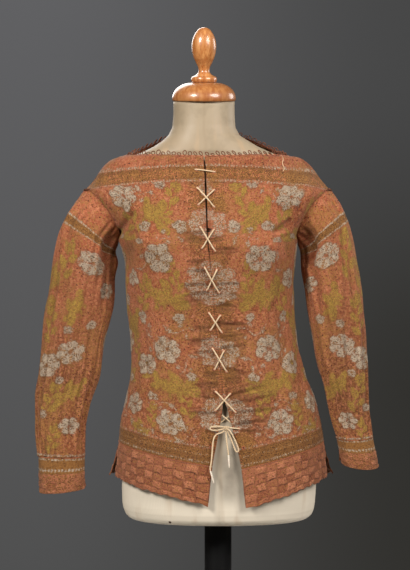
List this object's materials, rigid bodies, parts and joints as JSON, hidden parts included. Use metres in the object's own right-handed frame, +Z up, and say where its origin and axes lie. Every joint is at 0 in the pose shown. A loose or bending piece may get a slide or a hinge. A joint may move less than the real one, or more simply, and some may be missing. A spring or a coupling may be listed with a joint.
{
  "type": "knitted waistcoat on a dress form",
  "caption": "Long-sleeved knitted silk waistcoat laced down the front, worn by a limbless dress form with a wooden neck cap on a short stand.",
  "frame": {"origin": "middle of the base's underside, on the pole's axis", "axes": "+Z up along the pole, the garment's front faces -Y, the wearer's right side is at -X"},
  "size_m": [0.5933, 0.3, 1.0624],
  "materials": {
    "knit": "knitted coral silk with gold, green and pale blue motifs",
    "welt": "coral silk in basket-knit blocks",
    "lace": "round cream silk cord",
    "aglet": "pale lacquered tags",
    "linen": "cream cotton drawn smooth over the form",
    "beech": "amber varnish",
    "iron": "satin black paint"
  },
  "bodies": {
    "root": {"front_right": "knit", "front_left": "knit", "back": "knit", "sleeve_right": "knit", "sleeve_left": "knit", "hem_welt_front_right": "welt", "hem_welt_front_left": "welt", "hem_welt_back": "welt", "cuff_right": "welt", "cuff_left": "welt", "lace_crossings": "lace", "bow_knot": "lace", "bow_loop_right": "lace", "bow_loop_left": "lace", "lace_end_right": "lace", "lace_end_left": "lace", "aglet_right": "aglet", "aglet_left": "aglet", "form_body": "linen", "neck_cap": "beech", "neck_knob": "beech", "pole": "iron", "base": "iron"}
  },
  "joints": []
}
